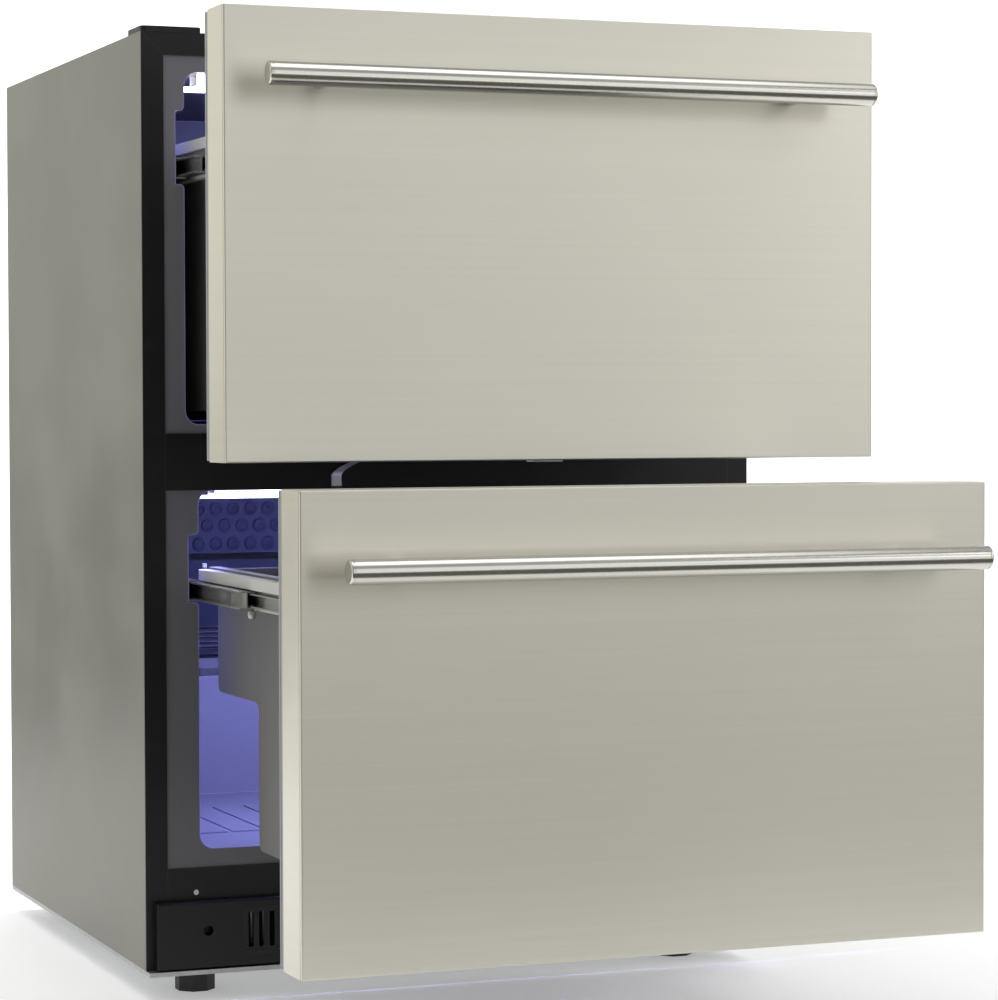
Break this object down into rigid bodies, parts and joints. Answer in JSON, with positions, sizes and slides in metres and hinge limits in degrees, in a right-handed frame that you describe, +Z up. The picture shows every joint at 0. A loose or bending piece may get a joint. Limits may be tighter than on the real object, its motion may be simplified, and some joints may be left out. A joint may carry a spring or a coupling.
{
  "type": "under-counter drawer refrigerator",
  "caption": "Built-in under-counter refrigerator with stacked stainless drawers, tube handles and a lit interior.",
  "frame": {"origin": "middle of the base on the floor, centred on the width and on the whole depth with the drawers as stored", "axes": "+X to the viewer's right, +Y to the back, +Z up"},
  "size_m": [0.6, 1.0578, 0.877],
  "materials": {
    "bin_grey": "satin",
    "black_frame": "satin",
    "black_plastic": "satin",
    "brushed_stainless": "satin",
    "compressor_black": "gloss",
    "copper": "satin",
    "foam": "matte",
    "galvanised": "satin",
    "gasket_grey": "matte",
    "handle_steel": "gloss",
    "lens": "gloss",
    "liner_grey": "satin",
    "rail_light_grey": "satin",
    "silver_side": "satin",
    "white_plastic": "satin",
    "zinc_steel": "gloss"
  },
  "bodies": {
    "cabinet": {"back_panel": "galvanised", "base_pan": "galvanised", "bottom_rail": "black_frame", "cabinet_screws": "zinc_steel", "compressor": "compressor_black", "condenser_coil": "galvanised", "condenser_fan_motor": "black_plastic", "discharge_pipe": "copper", "drain_tray": "black_plastic", "evaporator_coil": "galvanised", "evaporator_cover": "liner_grey", "evaporator_fan_motor": "black_plastic", "frame_left": "black_frame", "frame_right": "black_frame", "frame_top": "black_frame", "insulation_foam": "foam", "kick_plate": "black_frame", "kick_plate_screws": "black_plastic", "lower_light_housing": "white_plastic", "lower_light_lens": "lens", "lower_liner": "liner_grey", "lower_slide_outer": "zinc_steel", "machine_cover": "galvanised", "mullion": "black_frame", "power_inlet": "black_plastic", "side_panel_left": "silver_side", "side_panel_right": "silver_side", "top_brackets": "black_frame", "top_panel": "galvanised", "upper_duct_cover": "liner_grey", "upper_light_housing": "white_plastic", "upper_light_lens": "lens", "upper_liner": "liner_grey", "upper_slide_outer": "zinc_steel"},
    "upper_drawer": {"upper_front_skin": "brushed_stainless", "upper_inner_panel": "rail_light_grey", "upper_gasket": "gasket_grey", "upper_handle_bar": "handle_steel", "upper_handle_posts": "handle_steel", "upper_bin": "bin_grey", "upper_side_rails": "rail_light_grey", "upper_slide_inner": "zinc_steel"},
    "upper_slide_middle": {"upper_slide_middle": "zinc_steel"},
    "lower_drawer": {"lower_front_skin": "brushed_stainless", "lower_inner_panel": "rail_light_grey", "lower_gasket": "gasket_grey", "lower_handle_bar": "handle_steel", "lower_handle_posts": "handle_steel", "lower_bin": "bin_grey", "lower_side_rails": "rail_light_grey", "lower_slide_inner": "zinc_steel"},
    "lower_slide_middle": {"lower_slide_middle": "zinc_steel"},
    "evaporator_fan": {"evaporator_fan_blades": "black_plastic"},
    "condenser_fan": {"condenser_fan_blades": "black_plastic"},
    "light_switch": {"light_switch_lever": "white_plastic"},
    "foot_front_left": {"levelling_foot_front_left": "black_plastic"},
    "foot_front_right": {"levelling_foot_front_right": "black_plastic"},
    "foot_back_left": {"levelling_foot_back_left": "black_plastic"},
    "foot_back_right": {"levelling_foot_back_right": "black_plastic"}
  },
  "joints": [
    {"name": "upper_drawer_slide", "type": "slide", "parent": "cabinet", "child": "upper_drawer", "axis": [0, -1, 0], "range_m": [-0.198, 0.202]},
    {"name": "upper_slide_extension", "type": "slide", "parent": "cabinet", "child": "upper_slide_middle", "axis": [0, -1, 0], "range_m": [-0.099, 0.101]},
    {"name": "lower_drawer_slide", "type": "slide", "parent": "cabinet", "child": "lower_drawer", "axis": [0, -1, 0], "range_m": [-0.397, 0.003]},
    {"name": "lower_slide_extension", "type": "slide", "parent": "cabinet", "child": "lower_slide_middle", "axis": [0, -1, 0], "range_m": [-0.1985, 0.0015]},
    {"name": "evaporator_fan_spin", "type": "hinge", "parent": "cabinet", "child": "evaporator_fan", "pos_m": [0, 0.4299, 0.422], "axis": [0, 1, 0], "continuous": true},
    {"name": "condenser_fan_spin", "type": "hinge", "parent": "cabinet", "child": "condenser_fan", "pos_m": [0, 0.4319, 0.089], "axis": [0, 1, 0], "continuous": true},
    {"name": "light_switch_press", "type": "hinge", "parent": "cabinet", "child": "light_switch", "pos_m": [-0.11725, -0.0131, 0.471], "axis": [-1, 0, 0], "range_deg": [0, 5], "stiffness_Nm_per_rad": 0.01, "springref_deg": -5.73},
    {"name": "foot_front_left_height", "type": "slide", "parent": "cabinet", "child": "foot_front_left", "axis": [0, 0, -1], "range_m": [0, 0.015]},
    {"name": "foot_front_right_height", "type": "slide", "parent": "cabinet", "child": "foot_front_right", "axis": [0, 0, -1], "range_m": [0, 0.015]},
    {"name": "foot_back_left_height", "type": "slide", "parent": "cabinet", "child": "foot_back_left", "axis": [0, 0, -1], "range_m": [0, 0.015]},
    {"name": "foot_back_right_height", "type": "slide", "parent": "cabinet", "child": "foot_back_right", "axis": [0, 0, -1], "range_m": [0, 0.015]}
  ],
  "couplings": [
    {"joint": "upper_slide_extension", "follows": "upper_drawer_slide", "ratio": 0.5},
    {"joint": "lower_slide_extension", "follows": "lower_drawer_slide", "ratio": 0.5}
  ]
}
